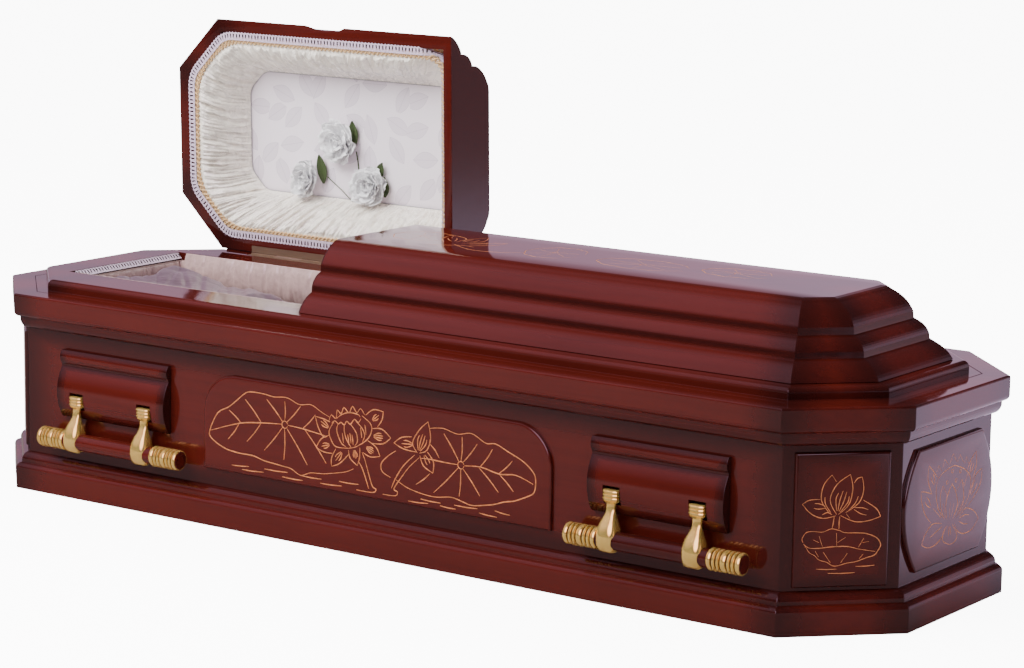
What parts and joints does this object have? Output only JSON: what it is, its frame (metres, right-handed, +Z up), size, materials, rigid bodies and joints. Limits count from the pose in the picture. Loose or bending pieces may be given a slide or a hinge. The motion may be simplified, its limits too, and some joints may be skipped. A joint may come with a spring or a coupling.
{
  "type": "casket",
  "caption": "Carved wooden casket with cut corners, split stepped lids hinged at the back, satin lining and swing bar handles.",
  "frame": {"origin": "on the floor, at the middle of the box's underside", "axes": "+X to the foot end, +Y to the hinge side at the back, +Z up"},
  "size_m": [2.1, 0.7349, 0.9116],
  "materials": {
    "red_lacquer": "high gloss lacquer over stained hardwood",
    "carved_lacquer": "high gloss lacquer with gilded V grooves",
    "dark_lacquer": "gloss lacquer over dark stained hardwood",
    "polished_brass": "polished",
    "satin_brass": "satin",
    "satin_lining": "shirred satin",
    "satin_bedding": "smooth satin"
  },
  "bodies": {
    "box": {"back_wall": "red_lacquer", "base_moulding_back": "red_lacquer", "base_moulding_foot": "red_lacquer", "base_moulding_front": "red_lacquer", "base_moulding_head": "red_lacquer", "box_lining": "satin_lining", "carved_panel_back": "carved_lacquer", "carved_panel_back_foot": "carved_lacquer", "carved_panel_back_head": "carved_lacquer", "carved_panel_foot": "carved_lacquer", "carved_panel_front": "carved_lacquer", "carved_panel_front_foot": "carved_lacquer", "carved_panel_front_head": "carved_lacquer", "carved_panel_head": "carved_lacquer", "corner_wall_back_foot": "red_lacquer", "corner_wall_back_head": "red_lacquer", "corner_wall_front_foot": "red_lacquer", "corner_wall_front_head": "red_lacquer", "floor_board": "dark_lacquer", "foot_hinge_box_leaf": "satin_brass", "foot_wall": "red_lacquer", "front_wall": "red_lacquer", "handle_block_back_foot": "red_lacquer", "handle_block_back_head": "red_lacquer", "handle_block_front_foot": "red_lacquer", "handle_block_front_head": "red_lacquer", "head_hinge_box_leaf": "satin_brass", "head_wall": "red_lacquer", "mattress": "satin_bedding", "pillow": "satin_bedding", "rim_moulding_back": "red_lacquer", "rim_moulding_foot": "red_lacquer", "rim_moulding_front": "red_lacquer", "rim_moulding_head": "red_lacquer", "top_board_back": "red_lacquer", "top_board_foot": "red_lacquer", "top_board_front": "red_lacquer", "top_board_head": "red_lacquer"},
    "head_lid_body": {"head_lid": "red_lacquer", "head_lid_lining": "satin_lining", "head_hinge_lid_leaf": "satin_brass"},
    "foot_lid_body": {"foot_lid": "red_lacquer", "foot_lid_lining": "satin_lining", "foot_hinge_lid_leaf": "satin_brass"},
    "front_head_handle": {"handle_arm_front_head_1": "polished_brass", "handle_arm_front_head_2": "polished_brass", "handle_bar_front_head": "dark_lacquer"},
    "front_foot_handle": {"handle_arm_front_foot_1": "polished_brass", "handle_arm_front_foot_2": "polished_brass", "handle_bar_front_foot": "dark_lacquer"},
    "back_head_handle": {"handle_arm_back_head_1": "polished_brass", "handle_arm_back_head_2": "polished_brass", "handle_bar_back_head": "dark_lacquer"},
    "back_foot_handle": {"handle_arm_back_foot_1": "polished_brass", "handle_arm_back_foot_2": "polished_brass", "handle_bar_back_foot": "dark_lacquer"}
  },
  "joints": [
    {"name": "head_lid_hinge", "type": "hinge", "parent": "box", "child": "head_lid_body", "pos_m": [-0.5945, 0.2486, 0.41815], "axis": [-1, 0, 0], "range_deg": [-88.4, 0]},
    {"name": "foot_lid_hinge", "type": "hinge", "parent": "box", "child": "foot_lid_body", "pos_m": [0.3615, 0.2486, 0.41815], "axis": [-1, 0, 0], "range_deg": [0, 88.4]},
    {"name": "front_head_handle_swing", "type": "hinge", "parent": "box", "child": "front_head_handle", "pos_m": [-0.634, -0.332, 0.195], "axis": [-1, 0, 0], "range_deg": [0, 85]},
    {"name": "front_foot_handle_swing", "type": "hinge", "parent": "box", "child": "front_foot_handle", "pos_m": [0.634, -0.332, 0.195], "axis": [-1, 0, 0], "range_deg": [0, 85]},
    {"name": "back_head_handle_swing", "type": "hinge", "parent": "box", "child": "back_head_handle", "pos_m": [-0.634, 0.332, 0.195], "axis": [1, 0, 0], "range_deg": [0, 85]},
    {"name": "back_foot_handle_swing", "type": "hinge", "parent": "box", "child": "back_foot_handle", "pos_m": [0.634, 0.332, 0.195], "axis": [1, 0, 0], "range_deg": [0, 85]}
  ]
}
